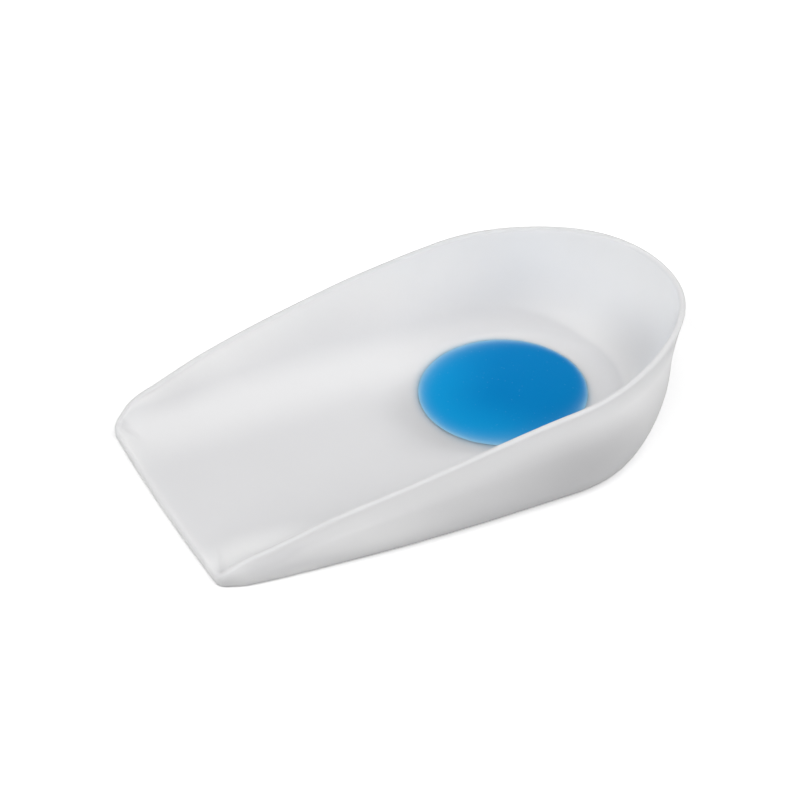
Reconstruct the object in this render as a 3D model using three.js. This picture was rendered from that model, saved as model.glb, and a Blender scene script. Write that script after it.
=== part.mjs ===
// Gel heel cup with a softer oval spot set flush in its floor.
// Millimetres, +Z up. The toe end faces -Y, the heel +Y, and the flat base lies on z = 0.

import * as THREE from 'three';

// Plan of the cup, measured at the outer edge of the rim
const cupLength = 110;
const rimWidth = 62.4;
const toeWidth = 51.1;
const toeBow = 0.5;
const toeCornerRadius = 2.9;
const heelReach = 37.3;
const heelDrawIn = 0.026;

// Heights above the ground
const heelHeight = 22.8;
const toeHeight = 2.8;
const heelFloorHeight = 4.6;

// Wall, from the thin rim down to its thick foot
const rimThickness = 1.4;
const footThickness = 4.2;
const toeEdgeRounding = 0.8;
const toeEdgeDrop = 0.8;
const fullWallRise = 6;
const toeFootReach = 4;
const toeBlendLength = 15;

// Outer face at full heel height: how wide it turns under the cup, and how far it swells or flares
const sideTurnWidth = 4.2;
const backTurnWidth = 12.6;
const sideSwell = 2.3;
const backFlare = 3.8;

// Soft spot and the pocket that it fills
const spotWidth = 33.9;
const spotLength = 33.3;
const spotSetback = 36.8;
const spotClearance = 0.3;
const spotLand = 1;
const spotDraft = 1.2;
const spotEdgeRounding = 0.35;
const spotBedThickness = 1.2;

// Shares that shape a section
const sideTurnShare = 0.66;
const backTurnShare = 0.51;
const turnGrowth = 0.9;
const swellCurve = 1.5;
const flareOnset = 3;
const footLiftShare = 0.16;
const footReachShare = 0.28;
const rimDropShare = 0.5;
const openReachShare = 0.33;
const sideCrowding = 1.25;

// How finely the shapes are divided
const toeSteps = 5;
const cornerSteps = 4;
const sideSteps = 20;
const heelSteps = 18;
const turnSteps = 6;
const faceSteps = 4;
const rimSteps = 3;
const hollowSteps = 10;
const spotSides = 72;
const spotRoundingSteps = 3;
const cornerTries = 6;
const slopeStep = 0.01;

// Sections along one side of the cup.
// along: 0 at the toe corner, 1 where the heel's curve begins, 2 at the back of the heel
// spread: share of the way from the toe's half width to the rim's half width
// rise: share of the way from the toe's height to the heel's height
// dish: reach of the hollow's rounded foot across the floor, as a share of the rim's half width
const sections = [
  { along: 0.00, spread: 0.00, rise: 0.000, dish: 0.10 },
  { along: 0.07, spread: 0.35, rise: 0.172, dish: 0.30 },
  { along: 0.15, spread: 0.48, rise: 0.262, dish: 0.46 },
  { along: 0.30, spread: 0.67, rise: 0.424, dish: 0.58 },
  { along: 0.55, spread: 0.91, rise: 0.610, dish: 0.56 },
  { along: 0.80, spread: 1.00, rise: 0.775, dish: 0.36 },
  { along: 1.00, spread: 1.00, rise: 0.868, dish: 0.25 },
  { along: 1.39, spread: 1.00, rise: 0.957, dish: 0.23 },
  { along: 1.72, spread: 1.00, rise: 1.000, dish: 0.27 },
  { along: 2.00, spread: 1.00, rise: 0.976, dish: 0.32 },
];

const halfRim = rimWidth / 2;
const halfToe = toeWidth / 2;
const toeY = -cupLength / 2;
const cornerY = toeY + toeBow;
const heelCentreY = cupLength / 2 - heelReach;
const spotY = cupLength / 2 - spotSetback;

const { lerp, clamp, smoothstep } = THREE.MathUtils;

// Slope of a column at a row, limited so that the curve never swings past its rows
function slopeAt(column, row) {
  const before = sections[row - 1];
  const here = sections[row];
  const after = sections[row + 1];
  if (!before || !after) {
    return 0;
  }
  const rising = (here[column] - before[column]) / (here.along - before.along);
  const leaving = (after[column] - here[column]) / (after.along - here.along);
  return rising * leaving <= 0 ? 0 : (2 * rising * leaving) / (rising + leaving);
}

// End rows keep the straight slope to their neighbour where the column is still climbing
function endSlope(column, row, neighbour) {
  const run = sections[neighbour].along - sections[row].along;
  return (sections[neighbour][column] - sections[row][column]) / run;
}

// Value of a column at any place along the side, by a smooth curve through the rows
function follow(column, along) {
  const last = sections.length - 1;
  const place = clamp(along, sections[0].along, sections[last].along);
  let row = 0;
  while (row < last - 1 && place > sections[row + 1].along) {
    row += 1;
  }
  const low = sections[row];
  const high = sections[row + 1];
  const run = high.along - low.along;
  const t = (place - low.along) / run;
  const startSlope = row === 0 ? endSlope(column, 0, 1) : slopeAt(column, row);
  const finalSlope = slopeAt(column, row + 1);
  const t2 = t * t;
  const t3 = t2 * t;
  return (2 * t3 - 3 * t2 + 1) * low[column]
    + (t3 - 2 * t2 + t) * run * startSlope
    + (3 * t2 - 2 * t3) * high[column]
    + (t3 - t2) * run * finalSlope;
}

// The floor is one plane that thickens evenly from the toe to the heel
function floorAt(y) {
  return lerp(toeHeight, heelFloorHeight, (y - toeY) / cupLength);
}

function alongAt(y) {
  return (y - cornerY) / (heelCentreY - cornerY);
}

function halfWidthAt(y) {
  return lerp(halfToe, halfRim, follow('spread', alongAt(y)));
}

// Angle in plan between the side of the cup and a line straight ahead
function leanAt(y) {
  return Math.atan((halfWidthAt(y + slopeStep) - halfWidthAt(y - slopeStep)) / (2 * slopeStep));
}

// Where the toe corner's arc runs into the side, which leans outwards there
function cornerEnd() {
  let y = cornerY + toeCornerRadius;
  for (let i = 0; i < cornerTries; i += 1) {
    y = cornerY + toeCornerRadius * (1 - Math.sin(leanAt(y)));
  }
  return y;
}

// Distance from the heel's centre to the rim: an ellipse drawn in a little between side and back
function heelRadius(angle) {
  const ellipse = 1 / Math.hypot(Math.cos(angle) / halfRim, Math.sin(angle) / heelReach);
  return ellipse * (1 - heelDrawIn * Math.sin(2 * angle) ** 2);
}

// How far the spot and the flat land kept round it reach from a point on the middle line, in one direction
function spotReach(y, outX, outY) {
  const across = spotWidth / 2 + spotLand;
  const length = spotLength / 2 + spotLand;
  const a = (outX / across) ** 2 + (outY / length) ** 2;
  const b = ((y - spotY) * outY) / length ** 2;
  const c = ((y - spotY) / length) ** 2 - 1;
  const inside = b * b - a * c;
  return inside < 0 ? 0 : (Math.sqrt(inside) - b) / a;
}

// Where the hollow's rounded foot meets the flat of the floor, on a station that faces sideways
function sideFoot(y) {
  const footY = y + toeFootReach * (1 - smoothstep(y, cornerY, cornerY + toeBlendLength));
  const reach = halfWidthAt(footY) - footThickness - follow('dish', alongAt(footY)) * halfRim;
  return { footX: Math.max(reach, spotReach(footY, 1, 0)), footY };
}

// Rim points from the middle of the toe edge to the back of the heel, each with its outward direction,
// its foot on the floor and back, which is 0 on the side and 1 at the back of the heel
function halfOutline() {
  const stations = [];
  const sideY = cornerEnd();
  const sideLean = leanAt(sideY);
  const arcY = cornerY + toeCornerRadius;
  const arcX = halfWidthAt(sideY) - toeCornerRadius * Math.cos(sideLean);
  const cornerFoot = sideFoot(cornerY);
  for (let i = 0; i < toeSteps; i += 1) {
    const share = i / toeSteps;
    const y = toeY + toeBow * share ** 2;
    const foot = { footX: cornerFoot.footX * share, footY: y + toeFootReach };
    stations.push({ x: arcX * share, y, outX: 0, outY: -1, along: 0, back: 0, ...foot });
  }
  for (let i = 0; i < cornerSteps; i += 1) {
    const angle = lerp(-Math.PI / 2, -sideLean, i / cornerSteps);
    const outX = Math.cos(angle);
    const outY = Math.sin(angle);
    const x = arcX + toeCornerRadius * outX;
    const y = arcY + toeCornerRadius * outY;
    stations.push({ x, y, outX, outY, along: alongAt(y), back: 0, ...sideFoot(y) });
  }
  for (let i = 0; i < sideSteps; i += 1) {
    const y = lerp(sideY, heelCentreY, (i / sideSteps) ** sideCrowding);
    const outX = Math.cos(leanAt(y));
    const outY = -Math.sin(leanAt(y));
    stations.push({ x: halfWidthAt(y), y, outX, outY, along: alongAt(y), back: 0, ...sideFoot(y) });
  }
  for (let i = 0; i <= heelSteps; i += 1) {
    const share = i / heelSteps;
    const angle = (Math.PI / 2) * share;
    const outX = i === heelSteps ? 0 : Math.cos(angle);
    const outY = Math.sin(angle);
    const radius = heelRadius(angle);
    const reach = radius - footThickness - follow('dish', 1 + share) * halfRim;
    const footRadius = Math.max(reach, spotReach(heelCentreY, outX, outY));
    const place = { x: radius * outX, y: heelCentreY + radius * outY };
    const foot = { footX: footRadius * outX, footY: heelCentreY + footRadius * outY };
    stations.push({ ...place, outX, outY, along: 1 + share, back: outY ** flareOnset, ...foot });
  }
  return stations;
}

function mirrored(station) {
  return { ...station, x: -station.x, outX: -station.outX, footX: -station.footX };
}

// The whole outline, anticlockwise from above, starting at the middle of the toe edge
function wholeOutline() {
  const half = halfOutline();
  const other = half.slice(1, -1).reverse().map(mirrored);
  return [...half, ...other];
}

// One wall section, from the edge of the flat base, up the outer face, over the rim and down to the floor
function wallSection(station) {
  const { x, y, outX, outY, along, back, footX, footY } = station;
  const height = lerp(toeHeight, heelHeight, follow('rise', along));
  const fullness = height / heelHeight;
  const wallBuild = smoothstep(height, toeHeight, toeHeight + fullWallRise);
  const swell = lerp(sideSwell, -backFlare, back) * fullness * wallBuild;
  const turnWidth = lerp(sideTurnWidth, backTurnWidth, back) * fullness ** turnGrowth;
  const turnHeight = lerp(sideTurnShare, backTurnShare, back) * height;
  const edgeWidth = lerp(toeEdgeRounding, rimThickness / 2, wallBuild);
  const edgeHeight = lerp(toeEdgeDrop, rimThickness / 2, wallBuild);
  const innerEdge = edgeWidth + rimThickness / 2;
  const faceTop = height - edgeHeight;

  const points = [];
  const place = (out, z) => points.push([x + outX * out, y + outY * out, z]);
  for (let i = 0; i <= turnSteps; i += 1) {
    const angle = (Math.PI / 2) * (i / turnSteps);
    place(swell - turnWidth * (1 - Math.sin(angle)), turnHeight * (1 - Math.cos(angle)));
  }
  for (let i = 1; i <= faceSteps; i += 1) {
    const t = i / faceSteps;
    place(swell * (1 - t ** swellCurve), lerp(turnHeight, faceTop, t));
  }
  for (let i = 1; i <= rimSteps; i += 1) {
    const angle = (Math.PI / 2) * (i / rimSteps);
    place(-edgeWidth * (1 - Math.cos(angle)), faceTop + edgeHeight * Math.sin(angle));
  }
  const climb = Math.max(height - floorAt(y - outY * innerEdge), 0);
  const rimDrop = Math.min(rimThickness / 2, rimDropShare * climb) * wallBuild;
  for (let i = 1; i <= rimSteps; i += 1) {
    const angle = (Math.PI / 2) * (i / rimSteps);
    place(-lerp(edgeWidth, innerEdge, Math.sin(angle)), height - rimDrop * (1 - Math.cos(angle)));
  }

  const brow = new THREE.Vector3(...points.at(-1));
  const foot = new THREE.Vector3(footX, footY, floorAt(footY));
  const run = foot.clone().sub(brow).setZ(0);
  const inset = Math.max(-swell, 0);
  const wallShare = lerp(openReachShare, (footThickness + inset - innerEdge) / run.length(), wallBuild);
  const wallPull = brow.clone().addScaledVector(run, wallShare);
  wallPull.z = lerp(foot.z, brow.z, lerp(1 - openReachShare, footLiftShare, wallBuild));
  const floorPull = brow.clone().addScaledVector(run, lerp(wallShare, 1, footReachShare));
  floorPull.z = floorAt(floorPull.y);
  const hollow = new THREE.CubicBezierCurve3(brow, wallPull, floorPull, foot);
  hollow.getPoints(hollowSteps).slice(1).forEach((point) => points.push(point.toArray()));
  return points;
}

// A closed skin made of rings, each anticlockwise seen from above. Bands join rings of equal length in
// the order that the surface passes them, a fan closes a ring, and a deck joins two rings in one plane.
class Skin {
  constructor() {
    this.points = [];
    this.faces = [];
  }

  ring(points) {
    const start = this.points.length;
    this.points.push(...points);
    return points.map((_, i) => start + i);
  }

  band(from, to) {
    from.forEach((here, i) => {
      const next = (i + 1) % from.length;
      this.faces.push([here, from[next], to[next]], [here, to[next], to[i]]);
    });
  }

  fan(ring, centre, facesDown) {
    const [middle] = this.ring([centre]);
    ring.forEach((here, i) => {
      const next = ring[(i + 1) % ring.length];
      this.faces.push(facesDown ? [middle, next, here] : [middle, here, next]);
    });
  }

  deck(outer, inner) {
    const hole = [...inner].reverse();
    const flat = (ring) => ring.map((i) => new THREE.Vector2(this.points[i][0], this.points[i][1]));
    const corners = [...outer, ...hole];
    const triangles = THREE.ShapeUtils.triangulateShape(flat(outer), [flat(hole)]);
    triangles.forEach((triangle) => this.faces.push(triangle.map((i) => corners[i])));
  }

  geometry() {
    const geometry = new THREE.BufferGeometry();
    geometry.setAttribute('position', new THREE.Float32BufferAttribute(this.points.flat(), 3));
    geometry.setIndex(this.faces.flat());
    geometry.computeVertexNormals();
    return geometry;
  }
}

// The spot's oval, let in from its edge by inset, with its height given by heightAt
function spotOval(inset, heightAt) {
  return Array.from({ length: spotSides }, (_, i) => {
    const angle = (2 * Math.PI * i) / spotSides;
    const x = (spotWidth / 2 - inset) * Math.cos(angle);
    const y = spotY + (spotLength / 2 - inset) * Math.sin(angle);
    return [x, y, heightAt(y)];
  });
}

// The same wall section carried round the whole outline, then the floor and the pocket in it
function cupGeometry() {
  const walls = wholeOutline().map(wallSection);
  const skin = new Skin();
  const levels = walls[0].map((_, level) => skin.ring(walls.map((wall) => wall[level])));
  skin.fan(levels[0], [0, 0, 0], true);
  levels.slice(1).forEach((level, i) => skin.band(levels[i], level));

  const lip = skin.ring(spotOval(-spotClearance, floorAt));
  const lipFoot = skin.ring(spotOval(-spotClearance, (y) => floorAt(y) - spotEdgeRounding));
  const bed = skin.ring(spotOval(spotDraft - spotClearance, () => spotBedThickness));
  skin.deck(levels.at(-1), lip);
  skin.band(lip, lipFoot);
  skin.band(lipFoot, bed);
  skin.fan(bed, [0, spotY, spotBedThickness], false);
  return skin.geometry();
}

// A plug that narrows downwards, with a rounded upper edge and its top in the plane of the floor
function spotGeometry() {
  const underside = spotBedThickness + spotClearance;
  const skin = new Skin();
  const foot = skin.ring(spotOval(spotDraft, () => underside));
  skin.fan(foot, [0, spotY, underside], true);
  let below = foot;
  for (let i = 0; i <= spotRoundingSteps; i += 1) {
    const angle = (Math.PI / 2) * (i / spotRoundingSteps);
    const inset = spotEdgeRounding * (1 - Math.cos(angle));
    const drop = spotEdgeRounding * (1 - Math.sin(angle));
    const ring = skin.ring(spotOval(inset, (y) => floorAt(y) - drop));
    skin.band(below, ring);
    below = ring;
  }
  skin.fan(below, [0, spotY, floorAt(spotY)], false);
  return skin.geometry();
}

function named(name, geometry, material) {
  const mesh = new THREE.Mesh(geometry, material);
  mesh.name = name;
  return mesh;
}

const milky = new THREE.MeshStandardMaterial({ color: 0xe6e8ea, roughness: 0.42, metalness: 0 });
const blue = new THREE.MeshStandardMaterial({ color: 0x0f86d2, roughness: 0.36, metalness: 0 });

const heelCup = new THREE.Group();
heelCup.add(named('cup_body', cupGeometry(), milky), named('soft_spot', spotGeometry(), blue));

export default heelCup;
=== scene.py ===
"""Gel heel cup: a milky silicone cup with a softer blue spot set flush in its floor."""

import logging
import math
from dataclasses import dataclass, field, replace
from enum import Enum

import bmesh
import bpy
from mathutils import Matrix, Vector
from mathutils.bvhtree import BVHTree


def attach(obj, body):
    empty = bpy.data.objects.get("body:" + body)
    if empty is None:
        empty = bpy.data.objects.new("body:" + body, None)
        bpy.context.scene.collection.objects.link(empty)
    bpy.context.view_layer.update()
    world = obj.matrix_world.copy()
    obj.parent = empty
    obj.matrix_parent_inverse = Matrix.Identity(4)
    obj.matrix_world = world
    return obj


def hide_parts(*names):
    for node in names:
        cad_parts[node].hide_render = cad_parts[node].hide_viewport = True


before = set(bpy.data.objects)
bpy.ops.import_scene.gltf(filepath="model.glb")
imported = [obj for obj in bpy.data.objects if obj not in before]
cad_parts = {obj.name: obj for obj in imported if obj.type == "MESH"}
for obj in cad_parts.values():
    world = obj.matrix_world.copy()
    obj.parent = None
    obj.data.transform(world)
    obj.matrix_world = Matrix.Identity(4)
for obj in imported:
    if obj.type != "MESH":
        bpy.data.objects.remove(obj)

log = logging.getLogger("heel_cup")

MILLIMETRE = 0.001
MERGE_DISTANCE = 0.001 * MILLIMETRE
DEPTH_NAME = "gel_depth"
RIM_SHADE_NAME = "gel_rim"


# Small helpers for numbers


def lerp(low: float, high: float, share: float) -> float:
    """Return the value a share of the way from low to high."""
    return low + (high - low) * share


def smoothstep(value: float, start: float, end: float) -> float:
    """Return a soft step of value, 0 up to start and 1 from end on."""
    t = min(max((value - start) / (end - start), 0.0), 1.0)
    return t * t * (3 - 2 * t)


def in_metres(span: tuple[float, float]) -> tuple[float, float]:
    """Return a span given in millimetres, in metres."""
    return span[0] * MILLIMETRE, span[1] * MILLIMETRE


# Shape of the cup, in millimetres


@dataclass(frozen=True)
class SectionRow:
    """One section along the side of the cup, with its lengths as shares."""

    along: float
    spread: float
    rise: float
    dish: float


SECTION_ROWS = (
    SectionRow(0.00, 0.00, 0.000, 0.10),
    SectionRow(0.07, 0.35, 0.172, 0.30),
    SectionRow(0.15, 0.48, 0.262, 0.46),
    SectionRow(0.30, 0.67, 0.424, 0.58),
    SectionRow(0.55, 0.91, 0.610, 0.56),
    SectionRow(0.80, 1.00, 0.775, 0.36),
    SectionRow(1.00, 1.00, 0.868, 0.25),
    SectionRow(1.39, 1.00, 0.957, 0.23),
    SectionRow(1.72, 1.00, 1.000, 0.27),
    SectionRow(2.00, 1.00, 0.976, 0.32),
)


@dataclass(frozen=True)
class SectionTable:
    """Smooth curves through the columns of the section rows."""

    rows: tuple[SectionRow, ...] = SECTION_ROWS

    def chord(self, column: str, row: int) -> float:
        """Return a column's straight slope from a row to the next."""
        low, high = self.rows[row], self.rows[row + 1]
        return (getattr(high, column) - getattr(low, column)) / (high.along - low.along)

    def slope(self, column: str, row: int) -> float:
        """Return a column's slope at a row, held back so that the curve never swings past its rows."""
        if row == 0:
            return self.chord(column, 0)
        if row == len(self.rows) - 1:
            return 0.0
        rising, leaving = self.chord(column, row - 1), self.chord(column, row)
        return 0.0 if rising * leaving <= 0 else 2 * rising * leaving / (rising + leaving)

    def follow(self, column: str, along: float) -> float:
        """Return a column's value at any place along the side.

        Args:
            column: name of the column.
            along: 0 at the toe corner, 1 where the heel's curve begins, 2 at the back of the heel.

        Returns:
            The share that the column gives there.
        """
        place = min(max(along, self.rows[0].along), self.rows[-1].along)
        row = 0
        while row < len(self.rows) - 2 and place > self.rows[row + 1].along:
            row += 1
        low, high = self.rows[row], self.rows[row + 1]
        run = high.along - low.along
        t = (place - low.along) / run
        t2, t3 = t * t, t * t * t
        return (
            (2 * t3 - 3 * t2 + 1) * getattr(low, column)
            + (t3 - 2 * t2 + t) * run * self.slope(column, row)
            + (3 * t2 - 2 * t3) * getattr(high, column)
            + (t3 - t2) * run * self.slope(column, row + 1)
        )


@dataclass(frozen=True)
class Station:
    """One place on the rim, with its outward direction and the foot of the hollow below it."""

    x: float
    y: float
    out_x: float
    out_y: float
    along: float
    back: float
    foot_x: float
    foot_y: float

    def mirrored(self) -> "Station":
        """Return the same station on the other side of the cup."""
        return replace(self, x=-self.x, out_x=-self.out_x, foot_x=-self.foot_x)


@dataclass(frozen=True)
class CupShape:
    """Named sizes of the cup in millimetres, and the curves that follow from them."""

    cup_length: float = 110.0
    rim_width: float = 62.4
    toe_width: float = 51.1
    toe_bow: float = 0.5
    toe_corner_radius: float = 2.9
    heel_reach: float = 37.3
    heel_draw_in: float = 0.026
    heel_height: float = 22.8
    toe_height: float = 2.8
    heel_floor_height: float = 4.6
    rim_thickness: float = 1.4
    foot_thickness: float = 4.2
    toe_edge_rounding: float = 0.8
    toe_edge_drop: float = 0.8
    full_wall_rise: float = 6.0
    toe_foot_reach: float = 4.0
    toe_blend_length: float = 15.0
    side_turn_width: float = 4.2
    back_turn_width: float = 12.6
    side_swell: float = 2.3
    back_flare: float = 3.8
    spot_width: float = 33.9
    spot_length: float = 33.3
    spot_setback: float = 36.8
    spot_land: float = 1.0
    side_turn_share: float = 0.66
    back_turn_share: float = 0.51
    turn_growth: float = 0.9
    swell_curve: float = 1.5
    flare_onset: float = 3.0
    foot_lift_share: float = 0.16
    foot_reach_share: float = 0.28
    rim_drop_share: float = 0.5
    open_reach_share: float = 0.33
    side_crowding: float = 1.25
    corner_tries: int = 6
    slope_step: float = 0.01
    sections: SectionTable = field(default_factory=SectionTable)

    @property
    def half_rim(self) -> float:
        """Half the width over the rim."""
        return self.rim_width / 2

    @property
    def toe_y(self) -> float:
        """Place of the middle of the toe edge."""
        return -self.cup_length / 2

    @property
    def corner_y(self) -> float:
        """Place of the toe corners, behind the bow of the toe edge."""
        return self.toe_y + self.toe_bow

    @property
    def heel_centre_y(self) -> float:
        """Place where the heel's curve begins."""
        return self.cup_length / 2 - self.heel_reach

    @property
    def spot_y(self) -> float:
        """Place of the middle of the soft spot."""
        return self.cup_length / 2 - self.spot_setback

    def floor_at(self, y: float) -> float:
        """Return the height of the floor's plane."""
        return lerp(self.toe_height, self.heel_floor_height, (y - self.toe_y) / self.cup_length)

    def along_at(self, y: float) -> float:
        """Return how far along the side a place lies, 0 at the toe corner and 1 at the heel's curve."""
        return (y - self.corner_y) / (self.heel_centre_y - self.corner_y)

    def half_width_at(self, y: float) -> float:
        """Return half the width over the rim at a place on the side."""
        return lerp(self.toe_width / 2, self.half_rim, self.sections.follow("spread", self.along_at(y)))

    def lean_at(self, y: float) -> float:
        """Return the angle in plan between the side of the cup and a line straight ahead."""
        widening = self.half_width_at(y + self.slope_step) - self.half_width_at(y - self.slope_step)
        return math.atan(widening / (2 * self.slope_step))

    def corner_end(self) -> float:
        """Return where the toe corner's arc runs into the side, which leans outwards there."""
        y = self.corner_y + self.toe_corner_radius
        for _ in range(self.corner_tries):
            y = self.corner_y + self.toe_corner_radius * (1 - math.sin(self.lean_at(y)))
        return y

    def height_at(self, along: float) -> float:
        """Return the height of the rim at a place along the side."""
        return lerp(self.toe_height, self.heel_height, self.sections.follow("rise", along))

    def build_at(self, along: float) -> float:
        """Return how far the wall is built up there, 0 at the low toe edge and 1 where it is full."""
        return smoothstep(self.height_at(along), self.toe_height, self.toe_height + self.full_wall_rise)

    def heel_radius(self, angle: float) -> float:
        """Return the heel's reach from its centre, an ellipse drawn in between side and back."""
        ellipse = 1 / math.hypot(math.cos(angle) / self.half_rim, math.sin(angle) / self.heel_reach)
        return ellipse * (1 - self.heel_draw_in * math.sin(2 * angle) ** 2)

    def spot_reach(self, y: float, out_x: float, out_y: float) -> float:
        """Return how far the spot and its flat land reach from a point on the middle line.

        Args:
            y: place of the point on the middle line.
            out_x: sideways part of the direction.
            out_y: lengthways part of the direction.

        Returns:
            The distance in millimetres, or 0 where the direction misses them.
        """
        across = self.spot_width / 2 + self.spot_land
        length = self.spot_length / 2 + self.spot_land
        a = (out_x / across) ** 2 + (out_y / length) ** 2
        b = (y - self.spot_y) * out_y / length**2
        c = ((y - self.spot_y) / length) ** 2 - 1
        inside = b * b - a * c
        return 0.0 if inside < 0 else (math.sqrt(inside) - b) / a

    def side_foot(self, y: float) -> tuple[float, float]:
        """Return where the hollow's rounded foot meets the flat of the floor, beside a place on the side."""
        nearness = 1 - smoothstep(y, self.corner_y, self.corner_y + self.toe_blend_length)
        foot_y = y + self.toe_foot_reach * nearness
        dish = self.sections.follow("dish", self.along_at(foot_y)) * self.half_rim
        reach = self.half_width_at(foot_y) - self.foot_thickness - dish
        return max(reach, self.spot_reach(foot_y, 1, 0)), foot_y


@dataclass(frozen=True)
class Fineness:
    """How finely the visible surface is divided."""

    toe: int = 12
    corner: int = 10
    side: int = 64
    heel: int = 50
    turn: int = 14
    face: int = 10
    rim: int = 6
    hollow: int = 26
    spot_sides: int = 160
    spot_rings: int = 14


@dataclass(frozen=True)
class Outline:
    """The stations round the rim, from the middle of the toe edge round to it again."""

    shape: CupShape
    fineness: Fineness

    def half(self) -> list[Station]:
        """Return the stations of one side, from the middle of the toe edge to the back of the heel."""
        shape, fine = self.shape, self.fineness
        side_y = shape.corner_end()
        lean = shape.lean_at(side_y)
        arc_y = shape.corner_y + shape.toe_corner_radius
        arc_x = shape.half_width_at(side_y) - shape.toe_corner_radius * math.cos(lean)
        corner_foot_x, _ = shape.side_foot(shape.corner_y)
        stations = []
        for i in range(fine.toe):
            share = i / fine.toe
            y = shape.toe_y + shape.toe_bow * share**2
            stations.append(
                Station(arc_x * share, y, 0, -1, 0, 0, corner_foot_x * share, y + shape.toe_foot_reach)
            )
        for i in range(fine.corner):
            angle = lerp(-math.pi / 2, -lean, i / fine.corner)
            out_x, out_y = math.cos(angle), math.sin(angle)
            y = arc_y + shape.toe_corner_radius * out_y
            x = arc_x + shape.toe_corner_radius * out_x
            stations.append(Station(x, y, out_x, out_y, shape.along_at(y), 0, *shape.side_foot(y)))
        for i in range(fine.side):
            y = lerp(side_y, shape.heel_centre_y, (i / fine.side) ** shape.side_crowding)
            out_x, out_y = math.cos(shape.lean_at(y)), -math.sin(shape.lean_at(y))
            along, foot = shape.along_at(y), shape.side_foot(y)
            stations.append(Station(shape.half_width_at(y), y, out_x, out_y, along, 0, *foot))
        for i in range(fine.heel + 1):
            stations.append(self.heel_station(i / fine.heel))
        return stations

    def heel_station(self, share: float) -> Station:
        """Return a station on the heel's curve, share 0 at the side and 1 at the back."""
        shape = self.shape
        angle = math.pi / 2 * share
        out_x = 0.0 if share == 1 else math.cos(angle)
        out_y = math.sin(angle)
        radius = shape.heel_radius(angle)
        reach = radius - shape.foot_thickness - shape.sections.follow("dish", 1 + share) * shape.half_rim
        foot = max(reach, shape.spot_reach(shape.heel_centre_y, out_x, out_y))
        return Station(
            radius * out_x,
            shape.heel_centre_y + radius * out_y,
            out_x,
            out_y,
            1 + share,
            out_y**shape.flare_onset,
            foot * out_x,
            shape.heel_centre_y + foot * out_y,
        )

    def whole(self) -> list[Station]:
        """Return all stations, anticlockwise from above, from the middle of the toe edge."""
        half = self.half()
        return half + [station.mirrored() for station in reversed(half[1:-1])]


@dataclass(frozen=True)
class WallSection:
    """One wall section, from the flat base up the outer face, over the rim and down to the floor."""

    shape: CupShape
    fineness: Fineness
    station: Station

    def spot(self, out: float, z: float) -> Vector:
        """Return the point that lies out from the rim line at height z."""
        place = self.station
        return Vector((place.x + place.out_x * out, place.y + place.out_y * out, z))

    def points(self) -> list[Vector]:
        """Return the section's points, in millimetres."""
        shape, fine, place = self.shape, self.fineness, self.station
        height = shape.height_at(place.along)
        fullness = height / shape.heel_height
        build = shape.build_at(place.along)
        swell = lerp(shape.side_swell, -shape.back_flare, place.back) * fullness * build
        turn_width = lerp(shape.side_turn_width, shape.back_turn_width, place.back)
        turn_width *= fullness**shape.turn_growth
        turn_height = lerp(shape.side_turn_share, shape.back_turn_share, place.back) * height
        edge_width = lerp(shape.toe_edge_rounding, shape.rim_thickness / 2, build)
        edge_height = lerp(shape.toe_edge_drop, shape.rim_thickness / 2, build)
        inner_edge = edge_width + shape.rim_thickness / 2
        face_top = height - edge_height

        points = []
        for i in range(fine.turn + 1):
            angle = math.pi / 2 * i / fine.turn
            inwards = turn_width * (1 - math.sin(angle))
            points.append(self.spot(swell - inwards, turn_height * (1 - math.cos(angle))))
        for i in range(1, fine.face + 1):
            t = i / fine.face
            points.append(self.spot(swell * (1 - t**shape.swell_curve), lerp(turn_height, face_top, t)))
        for i in range(1, fine.rim + 1):
            angle = math.pi / 2 * i / fine.rim
            inwards = edge_width * (1 - math.cos(angle))
            points.append(self.spot(-inwards, face_top + edge_height * math.sin(angle)))
        climb = max(height - shape.floor_at(place.y - place.out_y * inner_edge), 0.0)
        rim_drop = min(shape.rim_thickness / 2, shape.rim_drop_share * climb) * build
        for i in range(1, fine.rim + 1):
            angle = math.pi / 2 * i / fine.rim
            out = -lerp(edge_width, inner_edge, math.sin(angle))
            points.append(self.spot(out, height - rim_drop * (1 - math.cos(angle))))
        wall_step = shape.foot_thickness + max(-swell, 0.0) - inner_edge
        return points + self.hollow(points[-1], wall_step, build)

    def hollow(self, brow: Vector, wall_step: float, build: float) -> list[Vector]:
        """Return the curve of the hollow from the rim's inner edge to its foot on the floor.

        Args:
            brow: the rim's inner edge.
            wall_step: how far a full wall thickens from there to its foot.
            build: 0 where there is no wall, 1 where the wall is full.

        Returns:
            The points after the brow.
        """
        shape, place = self.shape, self.station
        foot = Vector((place.foot_x, place.foot_y, shape.floor_at(place.foot_y)))
        run = Vector((foot.x - brow.x, foot.y - brow.y, 0))
        wall_share = lerp(shape.open_reach_share, wall_step / run.length, build)
        wall_pull = brow + run * wall_share
        wall_pull.z = lerp(foot.z, brow.z, lerp(1 - shape.open_reach_share, shape.foot_lift_share, build))
        floor_pull = brow + run * lerp(wall_share, 1, shape.foot_reach_share)
        floor_pull.z = shape.floor_at(floor_pull.y)
        points = []
        for i in range(1, self.fineness.hollow + 1):
            t = i / self.fineness.hollow
            s = 1 - t
            points.append(s**3 * brow + 3 * s * s * t * wall_pull + 3 * s * t * t * floor_pull + t**3 * foot)
        return points


# Meshes


Ring = list[bmesh.types.BMVert]


def ring_edges(mesh: bmesh.types.BMesh, ring: Ring) -> list[bmesh.types.BMEdge]:
    """Return the edges of a closed ring of vertices."""
    return [mesh.edges.get((ring[i - 1], ring[i])) for i in range(len(ring))]


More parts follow.
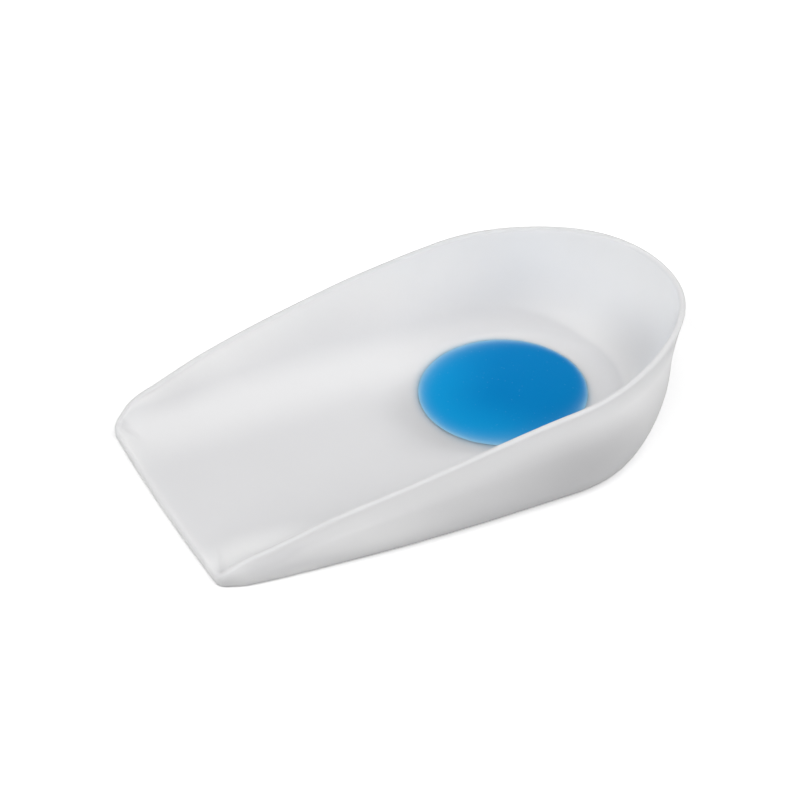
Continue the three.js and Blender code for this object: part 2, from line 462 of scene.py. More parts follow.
def loft(mesh: bmesh.types.BMesh, rings: list[list[Vector]]) -> list[Ring]:
    """Draw a skin through rings of equal length, by extruding the first ring to each next one.

    Args:
        mesh: the mesh that receives the skin.
        rings: the rings in millimetres, each in the same order.

    Returns:
        The vertices of every ring, in order.
    """
    here = bmesh.ops.create_circle(mesh, segments=len(rings[0]), radius=1.0)["verts"]
    move_to(here, rings[0])
    drawn = [here]
    for ring in rings[1:]:
        made = bmesh.ops.extrude_edge_only(mesh, edges=ring_edges(mesh, here))["geom"]
        fresh = {item for item in made if isinstance(item, bmesh.types.BMVert)}
        here = [next(e.other_vert(v) for e in v.link_edges if e.other_vert(v) in fresh) for v in here]
        move_to(here, ring)
        drawn.append(here)
    return drawn


def move_to(vertices: Ring, places: list[Vector]) -> None:
    """Move vertices to places given in millimetres."""
    for vertex, place in zip(vertices, places):
        vertex.co = place * MILLIMETRE


def close_ring(mesh: bmesh.types.BMesh, ring: Ring) -> None:
    """Close a ring with a fan of triangles round its middle."""
    face = bmesh.ops.contextual_create(mesh, geom=ring)["faces"]
    bmesh.ops.poke(mesh, faces=face)


def finished(name: str, mesh: bmesh.types.BMesh) -> bpy.types.Object:
    """Turn a bmesh into a smooth object at the origin, with its faces outwards.

    Args:
        name: the object's name.
        mesh: the closed mesh, in metres.

    Returns:
        The new object.
    """
    bmesh.ops.remove_doubles(mesh, verts=mesh.verts, dist=MERGE_DISTANCE)
    bmesh.ops.recalc_face_normals(mesh, faces=mesh.faces)
    data = bpy.data.meshes.new(name)
    mesh.to_mesh(data)
    mesh.free()
    data.polygons.foreach_set("use_smooth", [True] * len(data.polygons))
    piece = bpy.data.objects.new(name, data)
    bpy.context.scene.collection.objects.link(piece)
    return piece


@dataclass
class CupBody:
    """The milky moulding: floor, walls, rim and the pocket for the spot, with sizes in millimetres."""

    shape: CupShape
    fineness: Fineness
    lip_gap: float = 0.01
    lip_depth: float = 1.3
    base_share: float = 0.94
    full_depth: float = 12.0
    toe_edge_depth: float = 1.4
    rim_reach: float = 3.0
    ray_start: float = 0.05
    ground_level: float = 0.3
    evening_passes: int = 8

    def lip_rings(self) -> list[list[Vector]]:
        """Return the pocket's lip in the plane of the floor, and the ring that closes the pocket below it."""
        shape = self.shape
        lip = []
        for i in range(self.fineness.spot_sides):
            angle = math.tau * i / self.fineness.spot_sides
            x = (shape.spot_width / 2 + self.lip_gap) * math.cos(angle)
            y = shape.spot_y + (shape.spot_length / 2 + self.lip_gap) * math.sin(angle)
            lip.append(Vector((x, y, shape.floor_at(y))))
        return [lip, [edge - Vector((0, 0, self.lip_depth)) for edge in lip]]

    def mark_rim_shade(self, mesh: bmesh.types.BMesh, skin: list[Ring], stations: list[Station]) -> None:
        """Store where the rim is, for the painted shade on its top: 1 on a full wall's rounded top.

        The mark fades out at the top's inner edge, and on the other side over the upper stretch of the
        outer face.

        Args:
            mesh: the mesh that holds the rings.
            skin: the rings, from the middle of the base to the foot of the hollow.
            stations: the places on the rim, in the order of each ring's vertices.
        """
        fine, shape = self.fineness, self.shape
        layer = mesh.verts.layers.float[RIM_SHADE_NAME]
        start = 1 + fine.turn + fine.face
        for i in range(2 * fine.rim + 1):
            from_inner_edge = (2 * fine.rim - i) / fine.rim
            share = min(2 * from_inner_edge, 1.0)
            for vertex, station in zip(skin[start + i], stations):
                vertex[layer] = share * shape.build_at(station.along)
        for ring in skin[1:start]:
            for vertex, brow in zip(ring, skin[start]):
                drop = (vertex.co - brow.co).length / MILLIMETRE
                vertex[layer] = max(1 - drop / self.rim_reach, 0.0) * brow[layer]

    def mark_depth(self, mesh: bmesh.types.BMesh, skin: list[Ring], stations: list[Station]) -> None:
        """Store how thick the gel is behind each vertex, in millimetres, which sets the milky gel's painted
        light where it is thin and painted shade where it is thick.

        Gel that has only the ground behind it counts as full, because no light comes through it, and the
        low toe edge counts as thin.

        Args:
            mesh: the closed mesh.
            skin: the rings, from the middle of the base to the foot of the hollow.
            stations: the places on the rim, in the order of each ring's vertices.
        """
        bmesh.ops.recalc_face_normals(mesh, faces=mesh.faces)
        mesh.normal_update()
        tree = BVHTree.FromBMesh(mesh)
        layer = mesh.verts.layers.float[DEPTH_NAME]
        for vertex in mesh.verts:
            inwards = -vertex.normal
            start = vertex.co + inwards * self.ray_start * MILLIMETRE
            place, _, _, distance = tree.ray_cast(start, inwards)
            on_ground = place is None or place.z < self.ground_level * MILLIMETRE
            vertex[layer] = self.full_depth if on_ground else min(distance / MILLIMETRE, self.full_depth)
        for _ in range(self.evening_passes):
            for vertex in mesh.verts:
                near = [edge.other_vert(vertex)[layer] for edge in vertex.link_edges]
                vertex[layer] = (vertex[layer] + sum(near) / len(near)) / 2
        for ring in skin[1 : 2 + self.fineness.turn + self.fineness.face]:
            for vertex, station in zip(ring, stations):
                build = self.shape.build_at(station.along)
                vertex[layer] = lerp(self.toe_edge_depth, vertex[layer], build)

    def build(self) -> bpy.types.Object:
        """Return the finished body."""
        stations = Outline(self.shape, self.fineness).whole()
        walls = [WallSection(self.shape, self.fineness, station).points() for station in stations]
        rings = [list(ring) for ring in zip(*walls)]
        middle = Vector((0, 0, 0))
        base = [middle.lerp(point, self.base_share) for point in rings[0]]
        mesh = bmesh.new()
        for name in (RIM_SHADE_NAME, DEPTH_NAME):
            mesh.verts.layers.float.new(name)
        skin = loft(mesh, [base, *rings])
        lip, bed = loft(mesh, self.lip_rings())
        floor_edges = ring_edges(mesh, skin[-1]) + ring_edges(mesh, lip)
        bmesh.ops.triangle_fill(mesh, use_beauty=True, edges=floor_edges)
        close_ring(mesh, skin[0])
        close_ring(mesh, bed)
        self.mark_rim_shade(mesh, skin, stations)
        self.mark_depth(mesh, skin, stations)
        return finished("gel_cup", mesh)


@dataclass
class SoftSpot:
    """The blue plug, flush with the floor of the cup, with sizes in millimetres."""

    shape: CupShape
    fineness: Fineness
    thickness: float = 1.2
    bed_inset: float = 0.4
    edge_rounding: float = 0.05
    edge_steps: int = 4

    def oval(self, inset: float, drop: float) -> list[Vector]:
        """Return the spot's oval, let in from its edge and dropped below the floor."""
        shape = self.shape
        places = []
        for i in range(self.fineness.spot_sides):
            angle = math.tau * i / self.fineness.spot_sides
            x = (shape.spot_width / 2 - inset) * math.cos(angle)
            y = shape.spot_y + (shape.spot_length / 2 - inset) * math.sin(angle)
            places.append(Vector((x, y, shape.floor_at(y) - drop)))
        return places

    def build(self) -> bpy.types.Object:
        """Return the finished spot."""
        rings = [self.oval(self.bed_inset, self.thickness), self.oval(0.0, self.thickness)]
        for i in range(self.edge_steps + 1):
            angle = math.pi / 2 * i / self.edge_steps
            inset = self.edge_rounding * (1 - math.cos(angle))
            rings.append(self.oval(inset, self.edge_rounding * (1 - math.sin(angle))))
        full = self.shape.spot_width / 2
        for i in range(1, self.fineness.spot_rings):
            inset = lerp(self.edge_rounding, full, i / self.fineness.spot_rings)
            rings.append(self.oval(inset, 0.0))
        mesh = bmesh.new()
        skin = loft(mesh, rings)
        close_ring(mesh, skin[0])
        close_ring(mesh, skin[-1])
        return finished("gel_spot", mesh)


# Materials


class Op(Enum):
    """Sums that a Math node can do."""

    ADD = "ADD"
    SUBTRACT = "SUBTRACT"
    MULTIPLY = "MULTIPLY"
    DIVIDE = "DIVIDE"
    MULTIPLY_ADD = "MULTIPLY_ADD"
    POWER = "POWER"
    SQRT = "SQRT"
    ABSOLUTE = "ABSOLUTE"
    EXPONENT = "EXPONENT"


class NodeSheet:
    """A node tree with short ways to add and join nodes."""

    def __init__(self, tree: bpy.types.NodeTree) -> None:
        """Take the tree to work in."""
        self.tree = tree

    def add(self, kind: str, **settings: object) -> bpy.types.Node:
        """Add a node and set its own settings."""
        node = self.tree.nodes.new(kind)
        for name, value in settings.items():
            setattr(node, name, value)
        return node

    def join(self, source: bpy.types.NodeSocket, target: bpy.types.NodeSocket) -> None:
        """Link an output to an input."""
        self.tree.links.new(source, target)

    def give(self, socket: bpy.types.NodeSocket, value: object) -> None:
        """Link an output to an input, or set the input to a plain value."""
        if isinstance(value, bpy.types.NodeSocket):
            self.join(value, socket)
        else:
            socket.default_value = value

    def math(self, operation: Op, *values: object) -> bpy.types.NodeSocket:
        """Return the result of a Math node on numbers or outputs."""
        node = self.add("ShaderNodeMath", operation=operation.value)
        for socket, value in zip(node.inputs, values):
            self.give(socket, value)
        return node.outputs[0]

    def noise(
        self, place: bpy.types.NodeSocket, scale: object, detail: float = 2.0, roughness: float = 0.5
    ) -> bpy.types.NodeSocket:
        """Return soft noise round a half, with scale as the number of waves in a metre."""
        node = self.add("ShaderNodeTexNoise")
        self.join(place, node.inputs["Vector"])
        self.give(node.inputs["Scale"], scale)
        node.inputs["Detail"].default_value = detail
        node.inputs["Roughness"].default_value = roughness
        return node.outputs["Fac"]

    def range(
        self, value: bpy.types.NodeSocket, source: tuple[float, float], target: tuple[float, float]
    ) -> bpy.types.NodeSocket:
        """Return a value carried softly from one range to another."""
        node = self.add("ShaderNodeMapRange", interpolation_type="SMOOTHSTEP")
        self.join(value, node.inputs["Value"])
        node.inputs["From Min"].default_value, node.inputs["From Max"].default_value = source
        node.inputs["To Min"].default_value, node.inputs["To Max"].default_value = target
        return node.outputs["Result"]

    def mix(self, share: object, first: object, second: object) -> bpy.types.NodeSocket:
        """Return a colour mixed from two colours or outputs."""
        node = self.add("ShaderNodeMix", data_type="RGBA")
        factor, first_colour, second_colour = node.inputs[0], node.inputs[6], node.inputs[7]
        for socket, value in ((factor, share), (first_colour, first), (second_colour, second)):
            self.give(socket, value)
        return node.outputs[2]


class Effect:
    """A shader node group that several finishes share, with named inputs and outputs, all plain values."""

    socket_type = "NodeSocketFloat"

    def __init__(self, name: str, inputs: dict[str, float], outputs: tuple[str, ...]) -> None:
        """Make the group with its sockets.

        Args:
            name: the group's name.
            inputs: the inputs and what each is when nothing is given.
            outputs: the names of the outputs.
        """
        self.tree = bpy.data.node_groups.new(name, "ShaderNodeTree")
        for label, value in inputs.items():
            socket = self.tree.interface.new_socket(label, in_out="INPUT", socket_type=self.socket_type)
            socket.default_value = value
        for label in outputs:
            self.tree.interface.new_socket(label, in_out="OUTPUT", socket_type=self.socket_type)
        self.sheet = NodeSheet(self.tree)
        self.given = self.tree.nodes.new("NodeGroupInput").outputs
        self.result = self.tree.nodes.new("NodeGroupOutput").inputs

    def place(self, sheet: NodeSheet, **values: float) -> bpy.types.Node:
        """Place the group in a material with its own values."""
        node = sheet.add("ShaderNodeGroup", node_tree=self.tree)
        for label, value in values.items():
            node.inputs[label.replace("_", " ")].default_value = value
        return node


def cloud_effect() -> Effect:
    """Return the soft clouds of a cast gel: a value that drifts slowly round a half."""
    effect = Effect("Gel clouds", {"Scale": 60.0}, ("Cloud",))
    sheet = effect.sheet
    place = sheet.add("ShaderNodeTexCoord").outputs["Object"]
    noise = sheet.noise(place, effect.given["Scale"], detail=3.0, roughness=0.45)
    usual_span = (0.3, 0.7)
    sheet.join(sheet.range(noise, usual_span, (0.0, 1.0)), effect.result["Cloud"])
    return effect


def skin_effect() -> Effect:
    """Return the fine moulded skin: a height for bumps, with long soft waves under a fine grain."""
    effect = Effect("Gel skin", {"Grain": 0.25, "Waves": 1.0}, ("Height",))
    sheet = effect.sheet
    place = sheet.add("ShaderNodeTexCoord").outputs["Object"]
    grain = sheet.noise(place, scale=1400.0)
    waves = sheet.noise(place, scale=55.0, detail=1.0)
    fine = sheet.math(Op.MULTIPLY, grain, effect.given["Grain"])
    slow = sheet.math(Op.MULTIPLY, waves, effect.given["Waves"])
    sheet.join(sheet.math(Op.ADD, fine, slow), effect.result["Height"])
    return effect


def edge_effect(shape: CupShape) -> Effect:
    """Return how the blue gel runs into the milky gel round the spot's edge.

    Args:
        shape: the sizes that place the spot.

    Returns:
        The effect. Distance is in millimetres past the edge and negative inside, Fade is 1 at the edge and
        dies away on both sides, and Toe Side goes from 0 at the heel side of the spot to 1 at its toe side.
    """
    inputs = {"Width": 0.51, "Toe Width": 0.24, "Right Width": 0.22, "Side Width": 0.65, "Wander": 0.3}
    effect = Effect("Spot edge", inputs, ("Distance", "Fade", "Toe Side"))
    sheet = effect.sheet
    place = sheet.add("ShaderNodeTexCoord").outputs["Object"]
    split = sheet.add("ShaderNodeSeparateXYZ")
    sheet.join(place, split.inputs[0])
    per_mm = 1 / MILLIMETRE
    across = sheet.math(Op.MULTIPLY, split.outputs["X"], per_mm)
    length = sheet.math(Op.MULTIPLY_ADD, split.outputs["Y"], per_mm, -shape.spot_y)
    scaled = sheet.math(Op.MULTIPLY, length, shape.spot_width / shape.spot_length)
    squares = sheet.math(Op.ADD, sheet.math(Op.POWER, across, 2.0), sheet.math(Op.POWER, scaled, 2.0))
    radius = sheet.math(Op.SQRT, squares)
    lengthways = sheet.math(Op.DIVIDE, length, radius)
    sideways = sheet.math(Op.DIVIDE, across, radius)
    noise = sheet.math(Op.SUBTRACT, sheet.noise(place, scale=420.0), 0.5)
    wander = sheet.math(Op.MULTIPLY, noise, effect.given["Wander"])
    distance = sheet.math(Op.ADD, sheet.math(Op.SUBTRACT, radius, shape.spot_width / 2), wander)
    right_width = sheet.math(Op.MULTIPLY_ADD, sideways, effect.given["Right Width"], effect.given["Width"])
    squared = sheet.math(Op.MULTIPLY, sideways, sideways)
    side_width = sheet.math(Op.MULTIPLY_ADD, squared, effect.given["Side Width"], right_width)
    toe_width = sheet.math(Op.MULTIPLY, lengthways, effect.given["Toe Width"])
    width = sheet.math(Op.SUBTRACT, side_width, toe_width)
    steps = sheet.math(Op.DIVIDE, sheet.math(Op.ABSOLUTE, distance), width)
    sheet.join(distance, effect.result["Distance"])
    sheet.join(sheet.math(Op.EXPONENT, sheet.math(Op.MULTIPLY, steps, -1.0)), effect.result["Fade"])
    heel_to_toe = (0.6, -0.9)
    sheet.join(sheet.range(lengthways, heel_to_toe, (0.0, 1.0)), effect.result["Toe Side"])
    return effect


@dataclass
class Effects:
    """The effects that both gels share."""

    clouds: Effect
    skin: Effect
    edge: Effect

    @classmethod
    def for_shape(cls, shape: CupShape) -> "Effects":
        """Make the effects for a cup."""
        return cls(cloud_effect(), skin_effect(), edge_effect(shape))


Colour = tuple[float, float, float, float]


@dataclass(frozen=True)
class GelFinish:
    """What the two gels have in common."""

    name: str
    roughness: float
    subsurface: float
    scatter_mm: tuple[float, float, float]
    ior: float = 1.41
    gloss_level: float = 0.05
    gloss_drift: tuple[float, float] = (-0.03, 0.04)
    gloss_cloud_scale: float = 160.0
    bump: float = 0.12
    bump_depth_mm: float = 0.3

    def start(self, effects: Effects) -> tuple[bpy.types.Material, NodeSheet, bpy.types.Node]:
        """Make the material with its shader, gloss and skin.

        Args:
            effects: the shared effects.

        Returns:
            The material, its node sheet and its shader node, whose colour is still to be joined.
        """
        material = bpy.data.materials.new(self.name)
        material.use_nodes = True
        sheet = NodeSheet(material.node_tree)
        shader = material.node_tree.nodes["Principled BSDF"]
        shader.inputs["IOR"].default_value = self.ior
        shader.inputs["Specular IOR Level"].default_value = self.gloss_level
        shader.inputs["Subsurface Weight"].default_value = self.subsurface
        shader.inputs["Subsurface Radius"].default_value = self.scatter_mm
        shader.inputs["Subsurface Scale"].default_value = MILLIMETRE
        skin = effects.skin.place(sheet)
        bump = sheet.add("ShaderNodeBump")
        bump.inputs["Strength"].default_value = self.bump
        bump.inputs["Distance"].default_value = self.bump_depth_mm * MILLIMETRE
        sheet.join(skin.outputs["Height"], bump.inputs["Height"])
        sheet.join(bump.outputs["Normal"], shader.inputs["Normal"])
        cloud = effects.clouds.place(sheet, Scale=self.gloss_cloud_scale)
        low, high = (self.roughness + drift for drift in self.gloss_drift)
        gloss = sheet.range(cloud.outputs["Cloud"], (0.0, 1.0), (low, high))
        sheet.join(gloss, shader.inputs["Roughness"])
        return material, sheet, shader


# colours for the patches of painted light (pale and warm) and painted shade (grey)
PAINTED_LIGHT: Colour = (0.95, 0.95, 0.95, 1.0)
WARM_PAINTED_LIGHT: Colour = (0.96, 0.935, 0.91, 1.0)
PAINTED_SHADE: Colour = (0.55, 0.55, 0.56, 1.0)


@dataclass(frozen=True)
class LightAndShadePatch:
    """One soft patch of painted light, where the milky gel is made paler, or of painted shade, where it is
    made greyer, to follow the photograph's tones.
    """

    place: str
    centre_mm: tuple[float, float, float]
    radii_mm: tuple[float, float, float]
    share: float
    colour: Colour

    def mask(self, sheet: NodeSheet) -> bpy.types.NodeSocket:
        """Return the patch's share, which fades to nothing at its radii."""
        offset = sheet.add("ShaderNodeVectorMath", operation="SUBTRACT", label=self.place)
        sheet.join(sheet.add("ShaderNodeTexCoord").outputs["Object"], offset.inputs[0])
        offset.inputs[1].default_value = Vector(self.centre_mm) * MILLIMETRE
        scaled = sheet.add("ShaderNodeVectorMath", operation="DIVIDE")
        sheet.join(offset.outputs["Vector"], scaled.inputs[0])
        scaled.inputs[1].default_value = Vector(self.radii_mm) * MILLIMETRE
        reach = sheet.add("ShaderNodeVectorMath", operation="LENGTH")
        sheet.join(scaled.outputs["Vector"], reach.inputs[0])
        return sheet.range(reach.outputs["Value"], (1.0, 0.0), (0.0, self.share))


@dataclass(frozen=True)
class MilkyGel(GelFinish):
    """Milky, translucent silicone, tinted where it meets the blue gel, with painted light where it is thin
    and painted shade where it is thick, on the rim's top and round the spot, a painted highlight along the
    foot of the left wall and listed soft patches of painted light and shade.
    """

    name: str = "milky gel finish"
    roughness: float = 0.42
    gloss_level: float = 0.15
    subsurface: float = 1.0
    scatter_mm: tuple[float, float, float] = (3.0, 3.0, 3.0)
    # painted light and shade: thin gel is coloured lighter as if lit through, thick gel darker as if in shade
    thin: Colour = (0.85, 0.849, 0.85, 1.0)
    thick: Colour = (0.722, 0.722, 0.733, 1.0)
    # painted shade: the rim's rounded top is coloured darker to tone down the light it catches
    crest_shade: Colour = (0.70, 0.70, 0.706, 1.0)
    cloudy: Colour = (0.76, 0.76, 0.765, 1.0)
    tint: Colour = (0.28, 0.52, 0.72, 1.0)
    # painted shade: a grey ring in the milky gel round the spot
    spot_shade: Colour = (0.80, 0.80, 0.81, 1.0)
    # painted highlight: a paler stripe along the foot of the left side wall
    painted_highlight_colour: Colour = (0.86, 0.86, 0.86, 1.0)
    depths_mm: tuple[float, float] = (1.5, 9.0)
    cloud_scale: float = 45.0
    cloud_strength: float = 0.2
    spot_shade_reach_mm: tuple[float, float] = (3.2, 0.2)
    spot_shade_strength: float = 0.28
    band_strength: float = 0.45
    band_rise_mm: tuple[float, float] = (-7.0, -18.0)
    band_fall_mm: tuple[float, float] = (-28.0, -20.0)
    band_end_mm: tuple[float, float] = (20.0, 2.0)
    # painted light and shade: paler and warm patches are painted light, greyer patches are painted shade
    patches: tuple[LightAndShadePatch, ...] = (
        LightAndShadePatch("left wall at the heel", (-28.5, 15.0, 15.0), (9.0, 30.0, 14.0), 0.6, WARM_PAINTED_LIGHT),
        LightAndShadePatch("rim at the back", (9.0, 50.0, 22.5), (14.0, 8.0, 6.0), 1.0, PAINTED_LIGHT),
        LightAndShadePatch("rim at the right of the heel", (20.0, 42.0, 18.0), (9.0, 9.0, 6.0), 0.8, PAINTED_LIGHT),
        LightAndShadePatch("floor in the right toe corner", (22.5, -46.0, 4.0), (8.0, 18.0, 5.0), 0.75, PAINTED_LIGHT),
        LightAndShadePatch("right side near the toe", (31.0, -24.0, 5.0), (6.0, 24.0, 7.0), 0.7, PAINTED_LIGHT),
        LightAndShadePatch("base of the right side", (28.0, -40.0, 0.5), (9.0, 17.0, 3.5), 0.8, PAINTED_LIGHT),
        LightAndShadePatch("base of the toe edge", (0.0, -55.5, 0.5), (26.0, 2.5, 3.0), 0.6, PAINTED_LIGHT),
        LightAndShadePatch("foot of the back wall", (4.0, 46.0, 8.0), (17.0, 11.0, 14.0), 0.44, PAINTED_SHADE),
        LightAndShadePatch("right toe corner", (26.5, -53.5, 2.0), (6.0, 5.0, 4.0), 0.6, PAINTED_SHADE),
        LightAndShadePatch("right side at the heel", (33.0, 18.0, 10.0), (8.0, 24.0, 13.0), 0.58, PAINTED_SHADE),
        LightAndShadePatch("right side below the rim", (32.0, -8.0, 14.0), (6.0, 36.0, 8.0), 0.27, PAINTED_SHADE),
        LightAndShadePatch("left wall near the toe", (-26.0, -42.0, 7.0), (6.0, 14.0, 6.0), 0.25, PAINTED_SHADE),
    )

    def material(self, effects: Effects) -> bpy.types.Material:
        """Return the finished material."""
        material, sheet, shader = self.start(effects)
        depth = sheet.add("ShaderNodeAttribute", attribute_name=DEPTH_NAME).outputs["Fac"]
        # painted light where the gel is thin, painted shade where it is thick
        thickness_light_and_shade = sheet.mix(sheet.range(depth, self.depths_mm, (0.0, 1.0)), self.thin, self.thick)
        cloud = effects.clouds.place(sheet, Scale=self.cloud_scale)
        drift = sheet.range(cloud.outputs["Cloud"], (0.0, 1.0), (0.0, self.cloud_strength))
        # painted highlight along the foot of the left side wall
        lit_and_shaded = sheet.mix(self.painted_highlight_mask(sheet), thickness_light_and_shade, self.painted_highlight_colour)
        # patches of painted light and painted shade
        for patch in self.patches:
            lit_and_shaded = sheet.mix(patch.mask(sheet), lit_and_shaded, patch.colour)
        clouded = sheet.mix(drift, lit_and_shaded, self.cloudy)
        # painted shade on the rim's top
        rim = sheet.add("ShaderNodeAttribute", attribute_name=RIM_SHADE_NAME).outputs["Fac"]
        rimmed = sheet.mix(rim, clouded, self.crest_shade)
        edge = effects.edge.place(sheet, Width=0.38, Toe_Width=0.18, Right_Width=0.22, Side_Width=0.35)
        # painted shade in a grey ring round the spot
        spot_shade_mask = sheet.range(edge.outputs["Distance"], self.spot_shade_reach_mm, (0.0, self.spot_shade_strength))
        spot_shaded = sheet.mix(spot_shade_mask, rimmed, self.spot_shade)
        sheet.join(sheet.mix(edge.outputs["Fade"], spot_shaded, self.tint), shader.inputs["Base Color"])
        return material

    def painted_highlight_mask(self, sheet: NodeSheet) -> bpy.types.NodeSocket:
        """Return a mask of the painted highlight, a paler colour along the foot of the left side wall."""
        split = sheet.add("ShaderNodeSeparateXYZ")
        sheet.join(sheet.add("ShaderNodeTexCoord").outputs["Object"], split.inputs[0])
        rising = sheet.range(split.outputs["X"], in_metres(self.band_rise_mm), (0.0, self.band_strength))
        falling = sheet.range(split.outputs["X"], in_metres(self.band_fall_mm), (0.0, 1.0))
        ending = sheet.range(split.outputs["Y"], in_metres(self.band_end_mm), (0.0, 1.0))
        return sheet.math(Op.MULTIPLY, sheet.math(Op.MULTIPLY, rising, falling), ending)


@dataclass(frozen=True)
class BlueGel(GelFinish):
    """Softer blue silicone, paler where it thins out at its edge, with fine air bubbles."""

    name: str = "blue gel finish"
    roughness: float = 0.34
    subsurface: float = 0.15
    scatter_mm: tuple[float, float, float] = (0.4, 0.8, 1.2)
    deep: Colour = (0.0, 0.201, 0.51, 1.0)
    bright: Colour = (0.003, 0.31, 0.66, 1.0)
    rim: Colour = (0.28, 0.52, 0.72, 1.0)
    bubble: Colour = (0.30, 0.60, 0.84, 1.0)
    glow_reach_mm: tuple[float, float] = (-17.0, -1.5)
    glow_strength: float = 0.75
    bubble_scale: float = 900.0
    bubble_reach: tuple[float, float] = (0.13, 0.04)
    bubble_strength: float = 0.16

    def material(self, effects: Effects) -> bpy.types.Material:
        """Return the finished material."""
        material, sheet, shader = self.start(effects)
        edge = effects.edge.place(sheet)
        reach = sheet.range(edge.outputs["Distance"], self.glow_reach_mm, (0.0, self.glow_strength))
        toe_glow = sheet.math(Op.MULTIPLY, reach, edge.outputs["Toe Side"])
        body = sheet.mix(toe_glow, self.deep, self.bright)
        rimmed = sheet.mix(edge.outputs["Fade"], body, self.rim)
        sheet.join(sheet.mix(self.bubbles(sheet), rimmed, self.bubble), shader.inputs["Base Color"])
        return material

    def bubbles(self, sheet: NodeSheet) -> bpy.types.NodeSocket:
        """Return a mask of fine air bubbles under the surface."""
        place = sheet.add("ShaderNodeTexCoord").outputs["Object"]
        cells = sheet.add("ShaderNodeTexVoronoi", feature="F1")
        cells.inputs["Scale"].default_value = self.bubble_scale
        sheet.join(place, cells.inputs["Vector"])
        return sheet.range(cells.outputs["Distance"], self.bubble_reach, (0.0, self.bubble_strength))


# Studio


@dataclass(frozen=True)
class SoftLight:
    """One large soft light, aimed at the cup."""

    name: str
    place: tuple[float, float, float]
    power: float
    size: float = 0.9

    def hang(self, aim: Vector) -> None:
        """Hang the light and turn it to its aim."""
        lamp = bpy.data.lights.new(self.name, "AREA")
        lamp.shape = "SQUARE"
        lamp.size = self.size
        lamp.energy = self.power
        holder = bpy.data.objects.new(self.name, lamp)
        holder.location = Vector(self.place)
        holder.rotation_euler = (aim - holder.location).to_track_quat("-Z", "Y").to_euler()
        bpy.context.scene.collection.objects.link(holder)


@dataclass(frozen=True)
class Studio:
    """A plain pale floor, an even pale surround and soft lights.

    The camera sees floor_seen, floor_glow and surround_seen, and the cup is lit by floor_bounce and surround.
    """

    floor_size: float = 6.0
    floor_roughness: float = 0.9
    floor_seen: Colour = (0.95, 0.95, 0.95, 1.0)
    floor_bounce: Colour = (0.58, 0.58, 0.58, 1.0)
    floor_glow: float = 0.26
    surround: float = 0.16
    surround_seen: float = 1.0
    lights: tuple[SoftLight, ...] = (
        SoftLight("key_light", (0.725, 0.0, 1.256), 6.55),
        SoftLight("toe_side_light", (0.0, -1.111, 0.932), 8.6),
        SoftLight("heel_side_light", (0.0, 1.111, 0.932), 5.05),
        SoftLight("low_heel_light", (1.088, 0.628, 0.725), 4.65),
        SoftLight("low_toe_light", (0.900, -1.073, 0.375), 2.65),
        SoftLight("back_light", (-0.725, 0.0, 1.256), 2.15),
    )
    aim: tuple[float, float, float] = (0.0, 0.0, 0.01)

    def build(self) -> None:
        """Lay the floor, light the surround and hang the lights."""
        self.lay_floor()
        self.light_surround()
        for light in self.lights:
            light.hang(Vector(self.aim))
        view = bpy.context.scene.view_settings
        view.view_transform = "Standard"
        view.look = "None"

    def lay_floor(self) -> None:
        """Lay the pale floor, which the camera sees lighter than it lights the cup."""
        mesh = bmesh.new()
        bmesh.ops.create_grid(mesh, x_segments=1, y_segments=1, size=self.floor_size / 2)
        floor = finished("floor", mesh)
        material = bpy.data.materials.new("floor_paper")
        material.use_nodes = True
        sheet = NodeSheet(material.node_tree)
        shader = material.node_tree.nodes["Principled BSDF"]
        seen = sheet.add("ShaderNodeLightPath").outputs["Is Camera Ray"]
        sheet.join(sheet.mix(seen, self.floor_bounce, self.floor_seen), shader.inputs["Base Color"])
        shader.inputs["Emission Color"].default_value = (1.0, 1.0, 1.0, 1.0)
        sheet.join(sheet.math(Op.MULTIPLY, seen, self.floor_glow), shader.inputs["Emission Strength"])
        shader.inputs["Roughness"].default_value = self.floor_roughness
        floor.data.materials.append(material)

    def light_surround(self) -> None:
        """Light the even surround, which the camera sees lighter than it lights the cup."""
        world = bpy.data.worlds.new("surround")
        world.use_nodes = True
        background = world.node_tree.nodes["Background"]
        background.inputs["Color"].default_value = (1.0, 1.0, 1.0, 1.0)
        sky = NodeSheet(world.node_tree)
        camera_ray = sky.add("ShaderNodeLightPath").outputs["Is Camera Ray"]
        strength = sky.range(camera_ray, (0.0, 1.0), (self.surround, self.surround_seen))
        sky.join(strength, background.inputs["Strength"])
        bpy.context.scene.world = world


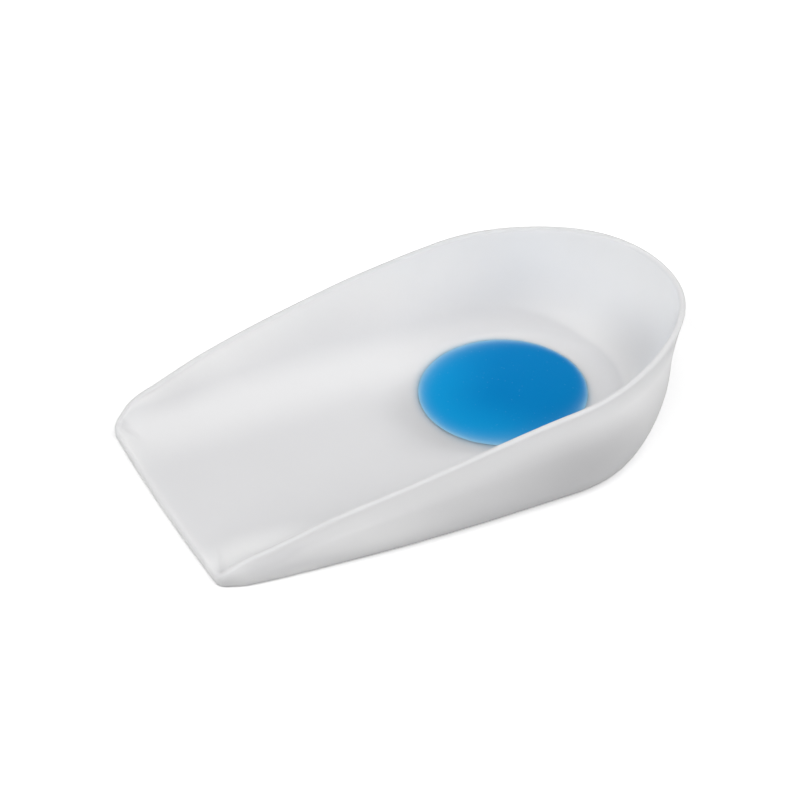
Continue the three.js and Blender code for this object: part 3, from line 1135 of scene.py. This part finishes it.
@dataclass(frozen=True)
class Viewpoint:
    """Where the photograph was taken from, as fitted to the cup's outline."""

    azimuth_deg: float = 63.904
    elevation_deg: float = 37.767
    place_mm: tuple[float, float, float] = (461.166, -230.276, 407.416)
    lens_mm: float = 150.85
    sensor_mm: float = 36.0
    clip: tuple[float, float] = (0.01, 10.0)

    def build(self) -> bpy.types.Object:
        """Return the camera, set as the scene's own."""
        turn, tilt = math.radians(self.azimuth_deg), math.radians(self.elevation_deg)
        right = Vector((math.cos(turn), math.sin(turn), 0))
        back = Vector((math.sin(turn) * math.cos(tilt), -math.cos(turn) * math.cos(tilt), math.sin(tilt)))
        up = back.cross(right)
        lens = bpy.data.cameras.new("camera")
        lens.lens = self.lens_mm
        lens.sensor_width = self.sensor_mm
        lens.clip_start, lens.clip_end = self.clip
        camera = bpy.data.objects.new("camera", lens)
        facing = Matrix((right, up, back)).transposed().to_4x4()
        camera.matrix_world = Matrix.Translation(Vector(self.place_mm) * MILLIMETRE) @ facing
        bpy.context.scene.collection.objects.link(camera)
        bpy.context.scene.camera = camera
        return camera


@dataclass
class HeelCup:
    """The whole heel cup, dressed and tied to the frame."""

    shape: CupShape = field(default_factory=CupShape)
    fineness: Fineness = field(default_factory=Fineness)

    def dress(self, piece: bpy.types.Object, node: str, material: bpy.types.Material) -> None:
        """Give a piece its finish and let it stand for a CAD node.

        Args:
            piece: the finished piece.
            node: the CAD node that the piece replaces.
            material: the piece's finish.
        """
        piece.data.materials.append(material)
        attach(piece, "root")
        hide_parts(node)
        log.info("%s stands for %s, %d faces", piece.name, node, len(piece.data.polygons))

    def build(self) -> None:
        """Build both pieces."""
        effects = Effects.for_shape(self.shape)
        cup = CupBody(self.shape, self.fineness).build()
        self.dress(cup, "cup_body", MilkyGel().material(effects))
        spot = SoftSpot(self.shape, self.fineness).build()
        self.dress(spot, "soft_spot", BlueGel().material(effects))


def main() -> None:
    """Build the camera, the cup and the studio."""
    logging.basicConfig(level=logging.INFO, format="%(name)s: %(message)s")
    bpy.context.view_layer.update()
    Viewpoint().build()
    HeelCup().build()
    Studio().build()


if __name__ == "__main__":
    main()
